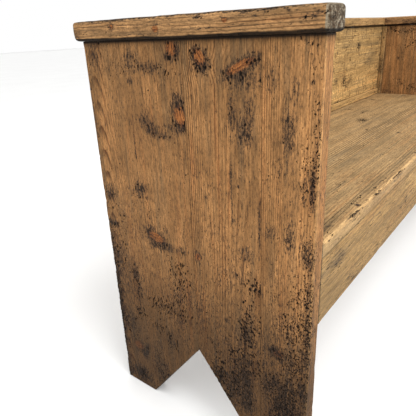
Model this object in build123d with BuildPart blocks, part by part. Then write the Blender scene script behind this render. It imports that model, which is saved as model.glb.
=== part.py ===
from build123d import *
import os

# A pine church pew, built of boards as a joiner builds it. All sizes are in millimetres.
# +X runs along the pew, +Y points to its back and +Z up. The origin is on the floor, at the
# centre of the pew's length and depth. "Left" and "right" are those of a person facing its front.

# Overall sizes
LENGTH = 1600  # over the outer faces of the two end panels
DEPTH = 450  # front edge to back edge of an end panel
PANEL_HEIGHT = 746  # floor to the underside of the caps
SEAT_HEIGHT = 460  # floor to the top of the seat

# End panels: three boards, edge-jointed with dowels, with a V-shaped notch between two feet
END_THICK = 28
END_REAR_WIDTH = 224  # width of the rear board; the notch is centred on its joint
END_MIDDLE_WIDTH = 138
NOTCH_HEIGHT = 180
NOTCH_HALF_WIDTH = 138
FOOT_ROUND = 4  # rounding of the feet's outer corners
DOWEL_RADIUS = 5
DOWEL_LENGTH = 60
DOWEL_HEIGHTS = (260, 460, 660)

# Caps on the end panels and on the backrest
CAP_THICK = 32
CAP_OUT = 14  # overhang past an end panel's outer face
CAP_IN = 10  # overhang past an end panel's inner face
CAP_FRONT = 8  # overhang past the front edge of an end panel
CAP_REAR = 8  # overhang past the back edge
BACK_CAP_NOSE = 8  # overhang of the back cap past the front of the backrest
CAP_ROUND = 7

# Backrest
BACK_THICK = 20
BACK_SETBACK = 16  # rear face of the backrest, in from the back edge of the end panels
BACK_JOINT_HEIGHT = 595  # floor to the joint between the two backrest boards
BACK_BELOW_SEAT = 20  # how far the lower board reaches below the seat's underside
CLEAT_WIDTH = 30
BATTEN_WIDTH = 60
STRIP_THICK = 6
BASE_STRIP_HEIGHT = 24
CORNER_STRIP_WIDTH = 18
STRIP_ROUND = 3

# Seat and its frame
SEAT_THICK = 25
SEAT_FRONT_WIDTH = 152  # width of the seat's front board
SEAT_END_GAP = 1  # between each end of the seat and the end panel
SEAT_ROUND = 8  # rounding of the seat's front top edge
RAIL_THICK = 22  # apron and rear rail
RAIL_BOTTOM = 317  # floor to the underside of the apron and the rear rail
BEARER_WIDTH = 25
BEARER_DEPTH = 45
HOUSING_DEPTH = 6  # of the centre bearer's ends in the apron and the rear rail
BLOCK_WIDTH = 30
BLOCK_CHAMFER = 14
BLOCK_RISE = 6  # the corner blocks stop this far above the rails' undersides

# Joints and small roundings
TONGUE_LENGTH = 8
SEAT_TONGUE_THICK = 8
BACK_TONGUE_THICK = 6
GROOVE_CLEARANCE = 0.1  # on each face of a tongue
GROOVE_SPARE = 1  # space past the end of a tongue
HOUSING_CLEARANCE = 0.1
DOWEL_CLEARANCE = 0.1
DOWEL_SPARE = 1
ARRIS_ROUND = 2

# Fasteners: radii, lengths and spacing
FASTENER_CLEARANCE = 0.05
NAIL_SHANK = 1.5
NAIL_HEAD = 3
NAIL_HEAD_HEIGHT = 1.5
NAIL_POINT = 5
CAP_NAIL_LENGTH = 70
SEAT_NAIL_LENGTH = 50
BACK_NAIL_LENGTH = 30
PIN_SHANK = 0.7
PIN_HEAD = 1.2
PIN_HEAD_HEIGHT = 0.8
PIN_POINT = 1.5
PIN_LENGTH = 16
SCREW_SHANK = 2.5
SCREW_HEAD = 4.8
SCREW_HEAD_HEIGHT = 3
SCREW_LAND = 0.5  # straight edge of a countersunk head
SCREW_POINT = 4
BEARER_SCREW_LENGTH = 45
CLEAT_SCREW_LENGTH = 50
END_CAP_NAIL_INSET = 50
END_CAP_NAILS = 4
BACK_CAP_NAIL_SPACING = 400
BACK_CAP_NAILS = 4
BOARD_NAIL_INSET = 45  # nails in from the edges of a seat board
BACK_NAIL_INSET = 30  # nails in from the edges of a backrest board
RAIL_NAIL_SPACING = 400
RAIL_NAILS = 4
REAR_NAIL_SPACING = 800
REAR_NAILS = 2
BEARER_SCREW_INSET = 50
BEARER_SCREWS = 3
BEARER_SCREW_RISE = 12  # above the underside of a bearer
BASE_PIN_SPACING = 240
BASE_PINS = 7
CORNER_PIN_INSET = 50
CORNER_PINS = 3

# Places that several pieces share
SIDES = {"left": -1, "right": 1}
PANEL_OUTER = LENGTH / 2
PANEL_INNER = PANEL_OUTER - END_THICK
PANEL_MIDDLE = PANEL_OUTER - END_THICK / 2
BACK_EDGE = DEPTH / 2
FRONT_EDGE = -DEPTH / 2
REAR_SEAM = BACK_EDGE - END_REAR_WIDTH
FRONT_SEAM = REAR_SEAM - END_MIDDLE_WIDTH
BACKREST_REAR = BACK_EDGE - BACK_SETBACK
BACKREST_FACE = BACKREST_REAR - BACK_THICK
SEAT_UNDERSIDE = SEAT_HEIGHT - SEAT_THICK
SEAT_SEAM = FRONT_EDGE + SEAT_FRONT_WIDTH
BACKREST_BOTTOM = SEAT_UNDERSIDE - BACK_BELOW_SEAT
APRON_REAR = FRONT_EDGE + RAIL_THICK
REAR_RAIL_FRONT = BACKREST_FACE - RAIL_THICK
BEARER_BOTTOM = SEAT_UNDERSIDE - BEARER_DEPTH
BEARER_CENTRES = {"left": BEARER_WIDTH / 2 - PANEL_INNER, "centre": 0, "right": PANEL_INNER - BEARER_WIDTH / 2}
CLEAT_CENTRE = PANEL_INNER - CLEAT_WIDTH / 2

# Ways to drive a fastener: each turns one that points down to point along an axis
DOWN = (0, 0, 0)
TO_REAR = (90, 0, 0)
TO_FRONT = (-90, 0, 0)
OUTWARD = {"left": (0, 90, 0), "right": (0, -90, 0)}


def finish_piece(piece, label):
    """Names a finished piece and writes it to its own file."""
    piece.label = label
    export_step(piece, f"parts/{label}.step")


def slab(x, y, z):
    """Adds a box to the piece being built, from (low, high) pairs along the three axes."""
    with Locations((x[0], y[0], z[0])):
        Box(x[1] - x[0], y[1] - y[0], z[1] - z[0], align=Align.MIN)


def cut_slab(x, y, z):
    """Cuts a box out of the piece being built."""
    with Locations((x[0], y[0], z[0])):
        Box(x[1] - x[0], y[1] - y[0], z[1] - z[0], align=Align.MIN, mode=Mode.SUBTRACT)


def across(side, inner, outer):
    """The (low, high) X pair of something between two distances from the pew's centre."""
    ends = (SIDES[side] * inner, SIDES[side] * outer)
    return min(ends), max(ends)


def spread(low, high, count):
    """Evenly spaced values from low to high."""
    return [low + (high - low) * i / (count - 1) for i in range(count)]


def row(spacing, count):
    """Evenly spaced values centred on zero."""
    return [spacing * (i - (count - 1) / 2) for i in range(count)]


# Fasteners ---------------------------------------------------------------------------------


def turned(head, edge, head_height, shank, length, point, clearance=0):
    """A nail or screw that points down from the origin, or its hole with a clearance."""
    with BuildPart() as fastener:
        with BuildSketch(Plane.XZ):
            with BuildLine():
                Polyline(
                    (0, 0),
                    (head + clearance, 0),
                    (head + clearance, -edge),
                    (shank + clearance, -head_height),
                    (shank + clearance, point - length - clearance),
                    (0, -length - clearance),
                    close=True,
                )
            make_face()
        revolve(axis=Axis.Z)
    return fastener.part


def nail(length, clearance=0):
    return turned(NAIL_HEAD, NAIL_HEAD_HEIGHT, NAIL_HEAD_HEIGHT, NAIL_SHANK, length, NAIL_POINT, clearance)


def pin(clearance=0):
    return turned(PIN_HEAD, PIN_HEAD_HEIGHT, PIN_HEAD_HEIGHT, PIN_SHANK, PIN_LENGTH, PIN_POINT, clearance)


def screw(length, clearance=0):
    return turned(SCREW_HEAD, SCREW_LAND, SCREW_HEAD_HEIGHT, SCREW_SHANK, length, SCREW_POINT, clearance)


CAP_NAIL_HOLE = nail(CAP_NAIL_LENGTH, FASTENER_CLEARANCE)
SEAT_NAIL_HOLE = nail(SEAT_NAIL_LENGTH, FASTENER_CLEARANCE)
BACK_NAIL_HOLE = nail(BACK_NAIL_LENGTH, FASTENER_CLEARANCE)
PIN_HOLE = pin(FASTENER_CLEARANCE)
BEARER_SCREW_HOLE = screw(BEARER_SCREW_LENGTH, FASTENER_CLEARANCE)
CLEAT_SCREW_HOLE = screw(CLEAT_SCREW_LENGTH, FASTENER_CLEARANCE)


def end_cap_nail_spots(side):
    ys = spread(FRONT_EDGE + END_CAP_NAIL_INSET, BACK_EDGE - END_CAP_NAIL_INSET, END_CAP_NAILS)
    return [Location((SIDES[side] * PANEL_MIDDLE, y, PANEL_HEIGHT + CAP_THICK), DOWN) for y in ys]


def back_cap_nail_spots():
    y = (BACKREST_FACE + BACKREST_REAR) / 2
    xs = row(BACK_CAP_NAIL_SPACING, BACK_CAP_NAILS)
    return [Location((x, y, PANEL_HEIGHT + CAP_THICK), DOWN) for x in xs]


def seat_nail_rows():
    """Distances to the front of the nails in the bearers, one pair to each seat board."""
    front = (FRONT_EDGE + BOARD_NAIL_INSET, SEAT_SEAM - BOARD_NAIL_INSET)
    rear = (SEAT_SEAM + BOARD_NAIL_INSET, BACKREST_FACE - BOARD_NAIL_INSET)
    return front + rear


def bearer_nail_spots(name):
    return [Location((BEARER_CENTRES[name], y, SEAT_HEIGHT), DOWN) for y in seat_nail_rows()]


def rail_nail_spots(y):
    return [Location((x, y, SEAT_HEIGHT), DOWN) for x in row(RAIL_NAIL_SPACING, RAIL_NAILS)]


def apron_nail_spots():
    return rail_nail_spots(FRONT_EDGE + RAIL_THICK / 2)


def rear_rail_nail_spots():
    return rail_nail_spots(BACKREST_FACE - RAIL_THICK / 2)


def seat_nail_spots():
    spots = apron_nail_spots() + rear_rail_nail_spots()
    for name in BEARER_CENTRES:
        spots += bearer_nail_spots(name)
    return spots


def back_nail_heights():
    """Two rows of nails to each backrest board, all above the seat."""
    lower = (SEAT_HEIGHT + BASE_STRIP_HEIGHT + BACK_NAIL_INSET / 2, BACK_JOINT_HEIGHT - BACK_NAIL_INSET)
    upper = (BACK_JOINT_HEIGHT + BACK_NAIL_INSET, PANEL_HEIGHT - BACK_NAIL_INSET)
    return lower + upper


def back_nail_spots():
    xs = (-CLEAT_CENTRE, 0, CLEAT_CENTRE)
    return [Location((x, BACKREST_FACE, z), TO_REAR) for x in xs for z in back_nail_heights()]


def rear_nail_spots():
    """Nails from behind, through the lower backrest board into the rear rail."""
    z = SEAT_UNDERSIDE - BACK_BELOW_SEAT / 2
    return [Location((x, BACKREST_REAR, z), TO_FRONT) for x in row(REAR_NAIL_SPACING, REAR_NAILS)]


def bearer_screw_spots(side):
    x = SIDES[side] * (PANEL_INNER - BEARER_WIDTH)
    z = BEARER_BOTTOM + BEARER_SCREW_RISE
    ys = spread(APRON_REAR + BEARER_SCREW_INSET, REAR_RAIL_FRONT - BEARER_SCREW_INSET, BEARER_SCREWS)
    return [Location((x, y, z), OUTWARD[side]) for y in ys]


def cleat_screw_spots(side):
    """One screw halfway between each two rows of nails, so that they never meet."""
    x = SIDES[side] * (PANEL_INNER - CLEAT_WIDTH)
    y = BACKREST_REAR + BACK_SETBACK / 2
    rows = back_nail_heights()
    return [Location((x, y, (low + high) / 2), OUTWARD[side]) for low, high in zip(rows, rows[1:])]


def base_pin_spots():
    y = BACKREST_FACE - STRIP_THICK
    z = SEAT_HEIGHT + BASE_STRIP_HEIGHT / 2
    return [Location((x, y, z), TO_REAR) for x in row(BASE_PIN_SPACING, BASE_PINS)]


def corner_pin_spots(side):
    x = SIDES[side] * (PANEL_INNER - STRIP_THICK)
    y = BACKREST_FACE - CORNER_STRIP_WIDTH / 2
    zs = spread(SEAT_HEIGHT + CORNER_PIN_INSET, PANEL_HEIGHT - CORNER_PIN_INSET, CORNER_PINS)
    return [Location((x, y, z), OUTWARD[side]) for z in zs]


def drill(spots, hole):
    """Cuts a fastener's hole out of the piece being built, at each of its spots."""
    with Locations(*spots):
        add(hole, mode=Mode.SUBTRACT)


def make_fasteners():
    cap_spots = end_cap_nail_spots("left") + end_cap_nail_spots("right") + back_cap_nail_spots()
    cleat_spots = cleat_screw_spots("left") + cleat_screw_spots("right")
    bearer_spots = bearer_screw_spots("left") + bearer_screw_spots("right")
    pin_spots = base_pin_spots() + corner_pin_spots("left") + corner_pin_spots("right")
    groups = {
        "cap_nails": (cap_spots, nail(CAP_NAIL_LENGTH)),
        "seat_nails": (seat_nail_spots(), nail(SEAT_NAIL_LENGTH)),
        "back_nails": (back_nail_spots() + rear_nail_spots(), nail(BACK_NAIL_LENGTH)),
        "bearer_screws": (bearer_spots, screw(BEARER_SCREW_LENGTH)),
        "cleat_screws": (cleat_spots, screw(CLEAT_SCREW_LENGTH)),
        "strip_pins": (pin_spots, pin()),
    }
    for label, (spots, fastener) in groups.items():
        with BuildPart() as group:
            with Locations(*spots):
                add(fastener)
        finish_piece(group.part, label)


# End panels --------------------------------------------------------------------------------


def dowel_holes(side):
    """Holes for the dowels across both joints of an end panel."""
    for seam in (REAR_SEAM, FRONT_SEAM):
        for z in DOWEL_HEIGHTS:
            with Locations(Location((SIDES[side] * PANEL_MIDDLE, seam, z), TO_REAR)):
                radius = DOWEL_RADIUS + DOWEL_CLEARANCE
                Cylinder(radius, DOWEL_LENGTH + 2 * DOWEL_SPARE, mode=Mode.SUBTRACT)


def make_end_board(side, label, y_low, y_high, rounded_edge=None):
    """One vertical board of an end panel; rounded_edge is the Y of its free edge, if it has one."""
    low, high = across(side, PANEL_INNER, PANEL_OUTER)
    with BuildPart() as board:
        slab((low, high), (y_low, y_high), (0, PANEL_HEIGHT))
        with BuildSketch(Plane.YZ.offset(low)):
            with BuildLine():
                Polyline(
                    (REAR_SEAM - NOTCH_HALF_WIDTH, 0),
                    (REAR_SEAM + NOTCH_HALF_WIDTH, 0),
                    (REAR_SEAM, NOTCH_HEIGHT),
                    close=True,
                )
            make_face()
        extrude(amount=high - low, mode=Mode.SUBTRACT)
        if rounded_edge is not None:
            on_edge = board.edges().filter_by_position(Axis.Y, rounded_edge, rounded_edge)
            fillet(on_edge.filter_by(Axis.Z), ARRIS_ROUND)
            on_edge = board.edges().filter_by(Axis.X).filter_by_position(Axis.Y, rounded_edge, rounded_edge)
            fillet(on_edge.sort_by(Axis.Z)[0], FOOT_ROUND)
        dowel_holes(side)
        drill(end_cap_nail_spots(side), CAP_NAIL_HOLE)
        drill(bearer_screw_spots(side), BEARER_SCREW_HOLE)
        drill(cleat_screw_spots(side), CLEAT_SCREW_HOLE)
        drill(corner_pin_spots(side), PIN_HOLE)
    finish_piece(board.part, label)


def make_end_dowels(side):
    with BuildPart() as dowels:
        for seam in (REAR_SEAM, FRONT_SEAM):
            for z in DOWEL_HEIGHTS:
                with Locations(Location((SIDES[side] * PANEL_MIDDLE, seam, z), TO_REAR)):
                    Cylinder(DOWEL_RADIUS, DOWEL_LENGTH)
    finish_piece(dowels.part, f"{side}_end_dowels")


def make_end_panel(side):
    make_end_board(side, f"{side}_end_rear_board", REAR_SEAM, BACK_EDGE, BACK_EDGE)
    make_end_board(side, f"{side}_end_middle_board", FRONT_SEAM, REAR_SEAM)
    make_end_board(side, f"{side}_end_front_board", FRONT_EDGE, FRONT_SEAM, FRONT_EDGE)
    make_end_dowels(side)


# Caps --------------------------------------------------------------------------------------


def make_end_cap(side):
    with BuildPart() as cap:
        slab(
            across(side, PANEL_INNER - CAP_IN, PANEL_OUTER + CAP_OUT),
            (FRONT_EDGE - CAP_FRONT, BACK_EDGE + CAP_REAR),
            (PANEL_HEIGHT, PANEL_HEIGHT + CAP_THICK),
        )
        fillet(cap.edges(), CAP_ROUND)
        drill(end_cap_nail_spots(side), CAP_NAIL_HOLE)
    finish_piece(cap.part, f"{side}_end_cap")


def make_back_cap():
    """The rail cap fits between the end caps and rests on the backrest."""
    reach = PANEL_INNER - CAP_IN
    with BuildPart() as cap:
        slab(
            (-reach, reach),
            (BACKREST_FACE - BACK_CAP_NOSE, BACK_EDGE + CAP_REAR),
            (PANEL_HEIGHT, PANEL_HEIGHT + CAP_THICK),
        )
        fillet(cap.edges().filter_by(Axis.X), CAP_ROUND)
        drill(back_cap_nail_spots(), CAP_NAIL_HOLE)
    finish_piece(cap.part, "back_rail_cap")


# Backrest ----------------------------------------------------------------------------------


def make_back_upper_board():
    tongue_middle = (BACKREST_FACE + BACKREST_REAR) / 2
    half_groove = BACK_TONGUE_THICK / 2 + GROOVE_CLEARANCE
    groove_depth = TONGUE_LENGTH + GROOVE_SPARE
    span = (-PANEL_INNER, PANEL_INNER)
    with BuildPart() as board:
        slab(span, (BACKREST_FACE, BACKREST_REAR), (BACK_JOINT_HEIGHT, PANEL_HEIGHT))
        cut_slab(
            span,
            (tongue_middle - half_groove, tongue_middle + half_groove),
            (BACK_JOINT_HEIGHT, BACK_JOINT_HEIGHT + groove_depth),
        )
        drill(back_cap_nail_spots(), CAP_NAIL_HOLE)
        drill(back_nail_spots(), BACK_NAIL_HOLE)
    finish_piece(board.part, "back_upper_board")


def make_back_lower_board():
    tongue_middle = (BACKREST_FACE + BACKREST_REAR) / 2
    half_tongue = BACK_TONGUE_THICK / 2
    span = (-PANEL_INNER, PANEL_INNER)
    with BuildPart() as board:
        slab(span, (BACKREST_FACE, BACKREST_REAR), (BACKREST_BOTTOM, BACK_JOINT_HEIGHT))
        slab(
            span,
            (tongue_middle - half_tongue, tongue_middle + half_tongue),
            (BACK_JOINT_HEIGHT, BACK_JOINT_HEIGHT + TONGUE_LENGTH),
        )
        drill(back_nail_spots(), BACK_NAIL_HOLE)
        drill(rear_nail_spots(), BACK_NAIL_HOLE)
        drill(base_pin_spots(), PIN_HOLE)
    finish_piece(board.part, "back_lower_board")


def make_back_cleat(side):
    """An upright behind the backrest's end, screwed to the end panel."""
    with BuildPart() as cleat:
        slab(
            across(side, PANEL_INNER - CLEAT_WIDTH, PANEL_INNER),
            (BACKREST_REAR, BACK_EDGE),
            (BACKREST_BOTTOM, PANEL_HEIGHT),
        )
        drill(back_nail_spots(), BACK_NAIL_HOLE)
        drill(cleat_screw_spots(side), CLEAT_SCREW_HOLE)
    finish_piece(cleat.part, f"{side}_back_cleat")


def make_back_batten():
    """An upright behind the middle of the backrest that holds its two boards in line."""
    with BuildPart() as batten:
        slab(
            (-BATTEN_WIDTH / 2, BATTEN_WIDTH / 2),
            (BACKREST_REAR, BACK_EDGE),
            (BACKREST_BOTTOM, PANEL_HEIGHT),
        )
        rear_edges = batten.edges().filter_by(Axis.Z).group_by(Axis.Y)[-1]
        fillet(rear_edges, ARRIS_ROUND)
        drill(back_nail_spots(), BACK_NAIL_HOLE)
    finish_piece(batten.part, "back_centre_batten")


def make_base_strip():
    """The strip along the joint between the seat and the backrest."""
    reach = PANEL_INNER - STRIP_THICK
    with BuildPart() as strip:
        slab(
            (-reach, reach),
            (BACKREST_FACE - STRIP_THICK, BACKREST_FACE),
            (SEAT_HEIGHT, SEAT_HEIGHT + BASE_STRIP_HEIGHT),
        )
        top_front = strip.edges().filter_by(Axis.X).group_by(Axis.Z)[-1].sort_by(Axis.Y)[0]
        fillet(top_front, STRIP_ROUND)
        drill(base_pin_spots(), PIN_HOLE)
    finish_piece(strip.part, "back_base_strip")


def make_corner_strip(side):
    """The strip up the corner between the backrest and an end panel."""
    with BuildPart() as strip:
        slab(
            across(side, PANEL_INNER - STRIP_THICK, PANEL_INNER),
            (BACKREST_FACE - CORNER_STRIP_WIDTH, BACKREST_FACE),
            (SEAT_HEIGHT, PANEL_HEIGHT),
        )
        front_edges = strip.edges().filter_by(Axis.Z).group_by(Axis.Y)[0]
        inner_edge = front_edges.sort_by(lambda edge: abs(edge.center().X))[0]
        fillet(inner_edge, STRIP_ROUND)
        drill(corner_pin_spots(side), PIN_HOLE)
    finish_piece(strip.part, f"{side}_corner_strip")


# Seat and its frame ------------------------------------------------------------------------


def make_seat_front_board():
    reach = PANEL_INNER - SEAT_END_GAP
    middle = (SEAT_UNDERSIDE + SEAT_HEIGHT) / 2
    half_tongue = SEAT_TONGUE_THICK / 2
    with BuildPart() as board:
        slab((-reach, reach), (FRONT_EDGE, SEAT_SEAM), (SEAT_UNDERSIDE, SEAT_HEIGHT))
        nosing = board.edges().filter_by(Axis.X).group_by(Axis.Y)[0].sort_by(Axis.Z)[-1]
        fillet(nosing, SEAT_ROUND)
        slab(
            (-reach, reach),
            (SEAT_SEAM, SEAT_SEAM + TONGUE_LENGTH),
            (middle - half_tongue, middle + half_tongue),
        )
        drill(seat_nail_spots(), SEAT_NAIL_HOLE)
    finish_piece(board.part, "seat_front_board")


def make_seat_rear_board():
    reach = PANEL_INNER - SEAT_END_GAP
    middle = (SEAT_UNDERSIDE + SEAT_HEIGHT) / 2
    half_groove = SEAT_TONGUE_THICK / 2 + GROOVE_CLEARANCE
    with BuildPart() as board:
        slab((-reach, reach), (SEAT_SEAM, BACKREST_FACE), (SEAT_UNDERSIDE, SEAT_HEIGHT))
        cut_slab(
            (-reach, reach),
            (SEAT_SEAM, SEAT_SEAM + TONGUE_LENGTH + GROOVE_SPARE),
            (middle - half_groove, middle + half_groove),
        )
        drill(seat_nail_spots(), SEAT_NAIL_HOLE)
    finish_piece(board.part, "seat_rear_board")


def bearer_housing(y_low, y_high):
    """Cuts the seat for an end of the centre bearer out of a rail."""
    half = BEARER_WIDTH / 2 + HOUSING_CLEARANCE
    cut_slab((-half, half), (y_low, y_high), (BEARER_BOTTOM - HOUSING_CLEARANCE, SEAT_UNDERSIDE))


def make_front_apron():
    with BuildPart() as apron:
        slab((-PANEL_INNER, PANEL_INNER), (FRONT_EDGE, APRON_REAR), (RAIL_BOTTOM, SEAT_UNDERSIDE))
        lower_edges = apron.edges().filter_by(Axis.X).group_by(Axis.Z)[0]
        fillet(lower_edges, ARRIS_ROUND)
        bearer_housing(APRON_REAR - HOUSING_DEPTH, APRON_REAR)
        drill(apron_nail_spots(), SEAT_NAIL_HOLE)
    finish_piece(apron.part, "front_apron")


def make_rear_rail():
    with BuildPart() as rail:
        slab((-PANEL_INNER, PANEL_INNER), (REAR_RAIL_FRONT, BACKREST_FACE), (RAIL_BOTTOM, SEAT_UNDERSIDE))
        lower_edges = rail.edges().filter_by(Axis.X).group_by(Axis.Z)[0]
        fillet(lower_edges, ARRIS_ROUND)
        bearer_housing(REAR_RAIL_FRONT, REAR_RAIL_FRONT + HOUSING_DEPTH)
        drill(rear_rail_nail_spots(), SEAT_NAIL_HOLE)
        drill(rear_nail_spots(), BACK_NAIL_HOLE)
    finish_piece(rail.part, "rear_rail")


def make_end_bearer(side):
    """A bearer under one end of the seat, screwed to the end panel."""
    with BuildPart() as bearer:
        slab(
            across(side, PANEL_INNER - BEARER_WIDTH, PANEL_INNER),
            (APRON_REAR, REAR_RAIL_FRONT),
            (BEARER_BOTTOM, SEAT_UNDERSIDE),
        )
        drill(bearer_nail_spots(side), SEAT_NAIL_HOLE)
        drill(bearer_screw_spots(side), BEARER_SCREW_HOLE)
    finish_piece(bearer.part, f"{side}_seat_bearer")


def make_centre_bearer():
    """The middle bearer, let into the apron and the rear rail."""
    low = APRON_REAR - HOUSING_DEPTH + HOUSING_CLEARANCE
    high = REAR_RAIL_FRONT + HOUSING_DEPTH - HOUSING_CLEARANCE
    with BuildPart() as bearer:
        slab((-BEARER_WIDTH / 2, BEARER_WIDTH / 2), (low, high), (BEARER_BOTTOM, SEAT_UNDERSIDE))
        drill(bearer_nail_spots("centre"), SEAT_NAIL_HOLE)
    finish_piece(bearer.part, "centre_seat_bearer")


def make_corner_block(side, label, y_low, y_high):
    """A glued block in the corner between an end panel and a rail, under the bearer."""
    with BuildPart() as block:
        slab(
            across(side, PANEL_INNER - BLOCK_WIDTH, PANEL_INNER),
            (y_low, y_high),
            (RAIL_BOTTOM + BLOCK_RISE, BEARER_BOTTOM),
        )
        middle = (APRON_REAR + REAR_RAIL_FRONT) / 2
        free_edges = block.edges().filter_by(Axis.Z).sort_by(
            lambda edge: abs(edge.center().X) + abs(edge.center().Y - middle)
        )
        chamfer(free_edges[0], BLOCK_CHAMFER)
    finish_piece(block.part, label)


def make_corner_blocks(side):
    make_corner_block(side, f"{side}_front_block", APRON_REAR, APRON_REAR + BLOCK_WIDTH)
    make_corner_block(side, f"{side}_rear_block", REAR_RAIL_FRONT - BLOCK_WIDTH, REAR_RAIL_FRONT)


os.makedirs("parts", exist_ok=True)
for side_name in SIDES:
    make_end_panel(side_name)
    make_end_cap(side_name)
    make_back_cleat(side_name)
    make_corner_strip(side_name)
    make_end_bearer(side_name)
    make_corner_blocks(side_name)
make_back_cap()
make_back_upper_board()
make_back_lower_board()
make_back_batten()
make_base_strip()
make_seat_front_board()
make_seat_rear_board()
make_front_apron()
make_rear_rail()
make_centre_bearer()
make_fasteners()
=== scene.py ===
import itertools
import math
import zlib

import bpy
import numpy as np
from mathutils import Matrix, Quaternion, Vector
from mathutils.kdtree import KDTree


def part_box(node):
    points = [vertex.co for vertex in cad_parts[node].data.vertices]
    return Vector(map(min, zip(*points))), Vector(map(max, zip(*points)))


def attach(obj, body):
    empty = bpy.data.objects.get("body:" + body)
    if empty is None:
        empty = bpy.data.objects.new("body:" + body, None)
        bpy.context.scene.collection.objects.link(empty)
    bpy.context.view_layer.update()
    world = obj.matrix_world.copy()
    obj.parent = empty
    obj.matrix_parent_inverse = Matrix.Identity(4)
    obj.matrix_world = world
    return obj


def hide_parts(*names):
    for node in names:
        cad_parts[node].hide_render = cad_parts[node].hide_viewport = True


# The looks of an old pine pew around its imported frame. Every board is a worn plank that stands
# for its plain CAD node; nails, pins, screws, dowels and corner blocks keep their CAD meshes. +X
# runs along the pew, its front faces -Y and +Z is up. Lengths are in metres, and MM turns
# millimetres into them.
MM = 0.001
X, Y, Z = 0, 1, 2

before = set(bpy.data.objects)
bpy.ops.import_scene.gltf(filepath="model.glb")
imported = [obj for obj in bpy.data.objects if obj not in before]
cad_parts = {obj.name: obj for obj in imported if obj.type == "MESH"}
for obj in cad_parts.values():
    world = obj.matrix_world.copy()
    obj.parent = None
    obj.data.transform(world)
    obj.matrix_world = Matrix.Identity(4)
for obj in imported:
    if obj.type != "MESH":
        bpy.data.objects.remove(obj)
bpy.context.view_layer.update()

# Camera
CAMERA_PLACE = Vector((-1.3201, -0.4461, 0.7527))
CAMERA_TARGET = Vector((-0.5912, 0.1274, 0.3787))
CAMERA_ROLL = math.radians(-2.64)
CAMERA_LENS = 37.76
CAMERA_SENSOR = 36.0

# The V notch between the feet: its top is on the joint of the rear and middle boards
NOTCH_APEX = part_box("left_end_rear_board")[0].y
NOTCH_HEIGHT = 180 * MM
NOTCH_HALF_WIDTH = 138 * MM

# Mesh density: grid lines lie close together at an arris, then a step apart
FRINGE = np.array((0, 0.7, 1.5, 2.5, 3.8, 5.5, 7.5)) * MM
TIGHT_RADIUS = 0.5 * MM  # of an arris in a joint
TIGHT_REACH = 14 * MM  # how far from the joint a free arris gets its full rounding
TIGHT_HOLD = 3 * MM  # how far from the joint the surface gets its full swell and dents
BUTTED = [(X, 0), (X, 1)]  # the joints of a board that runs from end to end


# ---------------------------------------------------------------- noise and meshes


def noise(points, size, seed):
    """Smooth noise from -1 to 1. size is the noise cell's size along x, y and z. Each cell corner
    gets its value from a hash of its place and the seed."""
    cells = points / np.asarray(size, float)
    base = np.floor(cells).astype(np.int64)
    part = cells - base
    part = part * part * (3 - 2 * part)
    total = np.zeros(len(points))
    for corner in itertools.product((0, 1), repeat=3):
        key = base + corner
        mixed = (key[:, 0] * 73856093) ^ (key[:, 1] * 19349663) ^ (key[:, 2] * 83492791)
        mixed = (mixed ^ (seed * 7919 + 104729)) & 0x7FFFFFFF
        mixed = ((mixed ^ (mixed >> 13)) * 1274126177) & 0x7FFFFFFF
        mixed = ((mixed ^ (mixed >> 16)) * 668265263) & 0x7FFFFFFF
        value = (mixed >> 8) / float(0x7FFFFF)
        weight = np.prod(np.where(corner, part, 1 - part), axis=1)
        total += weight * value
    return total * 2 - 1


def fractal(points, size, seed, octaves=3):
    """Noise with finer noise on top, from about -1 to 1."""
    size = np.asarray(size, float)
    total = sum(noise(points, size / 2**k, seed + k) / 2**k for k in range(octaves))
    return total / (2 - 2 ** (1 - octaves))


def ease(value, low, high):
    """0 at low, 1 at high, and smooth between them; low may be the larger number."""
    t = np.clip((value - low) / (high - low), 0, 1)
    return t * t * (3 - 2 * t)


def grid_lines(low, high, step):
    """Grid lines along one side of a board."""
    near = FRINGE[FRINGE < (high - low) * 0.3]
    count = max(1, round((high - low - 2 * near[-1]) / step))
    middle = np.linspace(low + near[-1], high - near[-1], count + 1)
    return np.concatenate([low + near[:-1], middle, (high - near[:-1])[::-1]])


def box_surface(lines):
    """The points and quads of a closed box with these grid lines along x, y and z."""
    counts = [len(a) for a in lines]
    shell = np.ones(counts, bool)
    shell[1:-1, 1:-1, 1:-1] = False
    index = np.full(counts, -1)
    index[shell] = np.arange(shell.sum())
    points = np.stack(np.meshgrid(*lines, indexing="ij"), -1)[shell]
    quads = []
    for axis, end in itertools.product((X, Y, Z), (0, -1)):
        side = np.take(index, end, axis=axis)
        quad = np.stack([side[:-1, :-1], side[1:, :-1], side[1:, 1:], side[:-1, 1:]], -1)
        quad = quad.reshape(-1, 4)
        flip = (end == 0) != (axis == Y)
        quads.append(quad[:, ::-1] if flip else quad)
    return points, np.concatenate(quads)


def new_object(name, points, quads, material, fields):
    """A smooth mesh object with one float attribute for each field."""
    mesh = bpy.data.meshes.new(name)
    mesh.from_pydata(points.tolist(), [], quads.tolist())
    mesh.polygons.foreach_set("use_smooth", np.ones(len(quads), bool))
    for key, values in fields.items():
        attribute = mesh.attributes.new(key, "FLOAT", "POINT")
        attribute.data.foreach_set("value", values.astype(np.float32))
    mesh.materials.append(material)
    mesh.update()
    made = bpy.data.objects.new(name, mesh)
    bpy.context.scene.collection.objects.link(made)
    return made


# ---------------------------------------------------------------- wear, growth and painted shade of a board


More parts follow.
